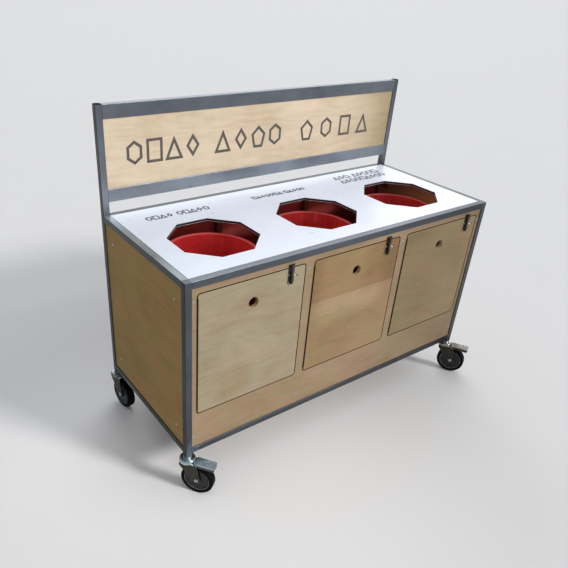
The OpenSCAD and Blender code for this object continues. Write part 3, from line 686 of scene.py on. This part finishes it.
def frame_welds(bm):
    """Fillets where the rails meet the posts, on the sides that show."""
    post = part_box("front_left_post")
    half_w, half_d = -post[0].x, -post[0].y
    tube = post[1].x - post[0].x
    in_w, in_d = half_w - tube, half_d - tube
    inset = 1.5 * MM
    low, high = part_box("bottom_front_rail")[0].z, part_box("top_front_rail")[1].z
    sign_low, sign_high = (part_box("sign_rails")[i].z for i in (0, 1))
    rail_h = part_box("sign_panel")[0].z - sign_low
    levels = [(low + tube, UP), (low, DOWN), (high - tube, DOWN)]
    rear_only = [(high, UP), (sign_low, DOWN), (sign_low + rail_h, UP), (sign_high - rail_h, DOWN)]
    for sx in (-1, 1):
        inward = Vector((-sx, 0, 0))
        for sy in (-1, 1):
            for z, out in levels + (rear_only if sy > 0 else []):
                near = Vector((sx * in_w, sy * (half_d - inset), z))
                far = Vector((sx * in_w, sy * (in_d + inset), z))
                bead(bm, near, far, inward, out)
            for z, out in levels:
                near = Vector((sx * (half_w - inset), sy * in_d, z))
                far = Vector((sx * (in_w + inset), sy * in_d, z))
                bead(bm, near, far, Vector((0, -sy, 0)), out)


piece("weld_beads", frame_welds, weld_metal("weld_metal"), "cabinet", 60)


def outline(sides, radius, turn=0.0, squash=1.0):
    """Points of a regular outline, with a corner or an edge on top as turn says."""
    return [
        (squash * radius * math.sin(2 * math.pi * (i + turn) / sides),
         radius * math.cos(2 * math.pi * (i + turn) / sides))
        for i in range(sides)
    ]


def band(bm, place, outer, inner, thick):
    """A flat ring between two outlines, raised by thick.

    place turns (x, y, height) into a point of the scene.
    """
    loops = [
        [bm.verts.new(place(x, y, h)) for x, y in points]
        for h in (0, thick)
        for points in (outer, inner)
    ]
    low_out, low_in, high_out, high_in = loops
    count = len(outer)
    for i in range(count):
        j = (i + 1) % count
        for a, b in (
            (high_out, high_in), (low_in, low_out), (low_out, high_out), (high_in, low_in),
        ):
            bm.faces.new((a[i], a[j], b[j], b[i]))


def symbol(bm, place, at, height, stroke, sides, turn, squash):
    """One outline shape with its box centred on at, as tall as height."""
    radius = height / 2
    points = outline(sides, radius, turn, squash)
    low, high = min(p[1] for p in points), max(p[1] for p in points)
    grow = height / (high - low)
    drop = (high + low) / 2 * grow
    points = [(p[0] * grow, p[1] * grow - drop) for p in points]
    inside = shrink(points, stroke)
    outer = [(x + at[0], y + at[1]) for x, y in points]
    inner = [(x + at[0], y + at[1]) for x, y in inside]
    band(bm, place, outer, inner, 0.3 * MM)


def shrink(points, distance):
    """A convex outline moved inwards by a distance, keeping its corners."""
    count = len(points)
    mid_x, mid_y = (sum(p[i] for p in points) / count for i in (0, 1))
    lines = []
    for i in range(count):
        (x0, y0), (x1, y1) = points[i], points[(i + 1) % count]
        length = math.hypot(x1 - x0, y1 - y0)
        nx, ny = (y1 - y0) / length, -(x1 - x0) / length
        points_outwards = nx * (x0 - mid_x) + ny * (y0 - mid_y) > 0
        if points_outwards:
            nx, ny = -nx, -ny
        lines.append((nx, ny, nx * x0 + ny * y0 + distance))
    moved = []
    for i in range(count):
        (a, b, c), (d, e, f) = lines[i - 1], lines[i]
        det = a * e - b * d
        moved.append(((c * e - b * f) / det, (a * f - c * d) / det))
    return moved


TRIANGLE, SQUARE, DIAMOND, PENTAGON, HEXAGON = (
    (3, 0.0, 0.76), (4, 0.5, 0.74), (4, 0.0, 0.66), (5, 0.0, 0.76), (6, 0.0, 0.80),
)
SHAPES = (HEXAGON, SQUARE, TRIANGLE, DIAMOND, PENTAGON)


def row(bm, place, left, right, middle, height, stroke, count, first):
    """Outline shapes in one row, evenly spaced from left to right, taken in turn from SHAPES."""
    step = (right - left) / count
    for i in range(count):
        at = (left + step * (i + 0.5), middle)
        symbol(bm, place, at, height, stroke, *SHAPES[(first + i) % len(SHAPES)])


def sign_shapes(bm):
    """Three rows of plain shapes on the sign board, in place of its words."""
    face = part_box("sign_panel")[0].y
    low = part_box("sign_panel")[0].z

    def place(x, z, height):
        return Vector((x, face - height, z))

    middle = low + 118 * MM
    height, stroke = 88 * MM, 10.5 * MM
    for first, (left, right) in enumerate(((-0.634, -0.314), (-0.262, 0.078), (0.150, 0.590))):
        row(bm, place, left, right, middle, height, stroke, 4, 2 * first)


def top_labels(bm):
    """Rows of small shapes behind the chutes, in place of their labels."""
    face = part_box("white_top")[1].z
    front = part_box("front_left_post")[0].y

    def place(x, y, height):
        return Vector((x, y, face + height))

    height, stroke, gap = 50 * MM, 5.6 * MM, 0.5
    for first, (left, right, rows) in enumerate((
        (-0.610, -0.341, ((0.495, (4, 5)),)),
        (-0.137, 0.136, ((0.495, (7, 5)),)),
        (0.334, 0.609, ((0.530, (3, 5)), (0.480, (9,)))),
    )):
        for depth, groups in rows:
            unit = (right - left) / (sum(groups) + gap * (len(groups) - 1))
            start = left
            for count in groups:
                end = start + count * unit
                tall = min(height, unit * 1.25)
                row(bm, place, start, end, front + depth, tall, stroke, count, first)
                start = end + gap * unit


piece("sign_symbols", sign_shapes, paint("sign_ink", srgb(86, 82, 77)), "cabinet")
piece("bin_labels", top_labels, paint("label_ink", srgb(48, 50, 56)), "cabinet")


def screw_head(bm, at, normal, radius, lift, sink):
    """A low domed head with a cross recess, on a short cone that goes into the work."""
    turn = facing(normal)
    arm, slot = radius * 0.52, radius * 0.13
    recess = min(lift + sink, 0.8 * MM)
    count = 32
    crown = radius * 0.80

    def spot(x, y, z):
        return at + turn @ Vector((x, y, z))

    def circle(r, z):
        return [bm.verts.new(spot(r * math.cos(a), r * math.sin(a), z))
                for a in (2 * math.pi * i / count for i in range(count))]

    cross = [(arm, -slot), (arm, slot), (slot, slot), (slot, arm),
             (-slot, arm), (-slot, slot), (-arm, slot), (-arm, -slot),
             (-slot, -slot), (-slot, -arm), (slot, -arm), (slot, -slot)]
    rings = [circle(radius * 0.5, -sink), circle(radius, 0), circle(radius, lift * 0.45),
             circle(radius * 0.93, lift * 0.85), circle(crown, lift)]
    bm.faces.new(rings[0][::-1])
    for a, b in zip(rings, rings[1:]):
        for i in range(count):
            bm.faces.new((a[i], a[(i + 1) % count], b[(i + 1) % count], b[i]))
    rim = [bm.verts.new(spot(x, y, lift)) for x, y in cross]
    floor = [bm.verts.new(spot(x * 0.8, y * 0.8, lift - recess)) for x, y in cross]
    for i in range(len(cross)):
        j = (i + 1) % len(cross)
        bm.faces.new((rim[i], rim[j], floor[j], floor[i]))
    bm.faces.new(floor)
    top = rings[-1]
    edges = [bm.edges.get((top[i], top[(i + 1) % count])) for i in range(count)]
    edges += [bm.edges.get((rim[i], rim[(i + 1) % len(rim)])) for i in range(len(rim))]
    bmesh.ops.triangle_fill(bm, edges=edges, use_beauty=True, normal=normal)


def islands(node):
    """The lowest and highest corner of each separate solid in a node."""
    mesh = nodes[node].data
    merged = {}
    keys = [tuple(round(c, 6) for c in v.co) for v in mesh.vertices]
    parent = {k: k for k in keys}

    def root(k):
        while parent[k] != k:
            parent[k] = parent[parent[k]]
            k = parent[k]
        return k

    for edge in mesh.edges:
        a, b = (root(keys[i]) for i in edge.vertices)
        parent[a] = b
    for k in set(keys):
        merged.setdefault(root(k), []).append(k)
    boxes = [
        (Vector(min(p[i] for p in points) for i in range(3)),
         Vector(max(p[i] for p in points) for i in range(3)))
        for points in merged.values()
    ]
    return sorted(boxes, key=lambda b: tuple(b[0]))


def panel_screw_heads(bm):
    """Each board screw, at the outer end of its CAD solid."""
    for low, high in islands("panel_screws"):
        size = high - low
        axis = max(range(3), key=lambda i: size[i])
        middle = (low + high) / 2
        side = 1 if middle[axis] > 0 else -1
        normal = Vector(side if i == axis else 0 for i in range(3))
        at = middle.copy()
        at[axis] = high[axis] if side > 0 else low[axis]
        radius = size[(axis + 1) % 3] / 2
        screw_head(bm, at - normal * 0.25 * MM, normal, radius, 0.5 * MM, 2.2 * MM)


heads = piece("board_screws", panel_screw_heads, zinc, "cabinet")
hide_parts("panel_screws")


def latch_screws(side):
    """The four small screws that hold a latch on its door."""
    bolt_r, plate_t = 4 * MM, 1.5 * MM
    radius, lift, sink = 2.7 * MM, 0.9 * MM, 1 * MM

    def build(bm):
        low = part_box(side + "_latch_body")[0].z
        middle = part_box(side + "_latch_bolt")[0].x + bolt_r
        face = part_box(side + "_door")[0].y - plate_t
        for dx in (-9.2 * MM, 9.2 * MM):
            for dz in (6 * MM, 33.5 * MM):
                at = Vector((middle + dx, face, low + dz))
                screw_head(bm, at, FRONT, radius, lift, sink)

    return build


for side in BAYS:
    piece(side + "_latch_screws", latch_screws(side), zinc, side + "_door")


# ---------------------------------------------------------------- stage, light and camera


def paper_floor():
    """A wide pale floor with a lighter patch around the cabinet's front left: painted light that
    makes up for the shade the cabinet casts on the floor.
    """
    half = 120.0
    painted_light_middle = (-0.50, -0.30, 0)
    mesh = bpy.data.meshes.new("floor")
    corners = [(-half, -half, 0), (half, -half, 0), (half, half, 0), (-half, half, 0)]
    mesh.from_pydata(corners, [], [(0, 1, 2, 3)])
    floor = bpy.data.objects.new("floor", mesh)
    bpy.context.scene.collection.objects.link(floor)
    s = Shader("floor_paper")
    fleck = s.noise((3, 3, 3), (0, 0, 0), 3)
    tone = s.ramp(fleck, (0.3, grey(0.545)), (0.7, grey(0.553)))
    away = s.node("VectorMath", s.place, painted_light_middle, operation="DISTANCE", out=1)
    tone = s.mix(s.levels(away, 1.2, 0.15, smooth=True), tone, grey(0.78))
    mesh.materials.append(s.set(Base_Color=tone, Roughness=0.9))


def studio():
    """A soft sky, dim on the left and brightest behind on the right, a third of the way up.

    The camera itself sees a plain backdrop instead.
    """
    world = bpy.data.worlds.new("studio")
    bpy.context.scene.world = world
    world.use_nodes = True
    t = Tree(world.node_tree)
    way = t.node("TexCoord", out="Generated")
    parts = t.split(way)
    height = t.levels(parts[Z], 0.0, 0.85, smooth=True)
    sky = t.mix(height, (0.42, 0.42, 0.43), (0.92, 0.94, 0.985))
    side = t.levels(parts[X], -1.0, 0.2, 0.25, 1.0)
    panel = t.node("VectorMath", way, (0.52, 0.69, 0.51), operation="DOT_PRODUCT", out=1)
    panel = t.levels(panel, 0.82, 0.97, 0.0, 2.6, smooth=True)
    light = t.node("Background", sky, t.math("ADD", side, panel))
    backdrop = t.node("Background", (0.735, 0.74, 0.75))
    seen = t.node("LightPath", out="Is Camera Ray")
    output = t.tree.nodes.new("ShaderNodeOutputWorld")
    t.feed(output.inputs[0], t.node("MixShader", seen, light, backdrop))


def sun(name, toward, strength, angle, colour):
    """A wide, soft key light shining from the direction toward."""
    light = bpy.data.lights.new(name, "SUN")
    light.energy = strength
    light.angle = math.radians(angle)
    light.color = colour
    lamp = bpy.data.objects.new(name, light)
    lamp.rotation_euler = Vector(toward).to_track_quat("Z", "Y").to_euler()
    bpy.context.scene.collection.objects.link(lamp)


def disc_light(name, at, toward, size, energy, colour):
    """A small soft light that shines only the way it faces."""
    light = bpy.data.lights.new(name, "AREA")
    light.shape = "DISK"
    light.size = size
    light.energy = energy
    light.color = colour
    lamp = bpy.data.objects.new(name, light)
    lamp.location = at
    lamp.rotation_euler = toward.to_track_quat("-Z", "Y").to_euler()
    bpy.context.scene.collection.objects.link(lamp)


def bay_fills(side):
    """Warm light bounced about inside a bay, seen down its chute and through its finger hole."""
    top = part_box("white_top")[1].z
    low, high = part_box(side + "_bin")
    centre = (low + high) / 2
    at = (centre.x, centre.y - 16 * MM, top - 6 * MM)
    disc_light("chute_fill_" + side, at, DOWN, size=0.26, energy=0.75, colour=(1.0, 0.62, 0.57))
    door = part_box(side + "_door")
    hole_z = door[1].z - 85 * MM
    at = ((door[0].x + door[1].x) / 2, door[1].y + 2 * MM, hole_z)
    energy = {"left": 0.075, "middle": 0.05, "right": 0.03}[side]
    disc_light("door_fill_" + side, at, BACK, 0.12, energy, (1.0, 0.90, 0.85))


def camera():
    """A moderately wide lens, in front of the left end and looking down to the right."""
    spot = (-1.4792, -1.6334, 1.6898)
    right = Vector((0.814771, -0.577424, 0.052253))
    down = Vector((-0.258443, -0.442388, -0.858778))
    forward = Vector((0.518995, 0.686203, -0.509676))
    data = bpy.data.cameras.new("camera")
    data.lens = 37.208
    data.sensor_width = 36
    data.shift_x = 0.0558
    data.shift_y = 0.0409
    data.clip_end = 400
    eye = bpy.data.objects.new("camera", data)
    turn = Matrix((right, -down, -forward)).transposed()
    eye.matrix_world = Matrix.Translation(spot) @ turn.to_4x4()
    bpy.context.scene.collection.objects.link(eye)
    bpy.context.scene.camera = eye


paper_floor()
studio()
sun("key", (0.42, -0.71, 0.56), 2.35, 11, (1.0, 0.98, 0.95))
for side in BAYS:
    bay_fills(side)
camera()
bpy.context.scene.view_settings.view_transform = "Standard"

bpy.context.view_layer.update()
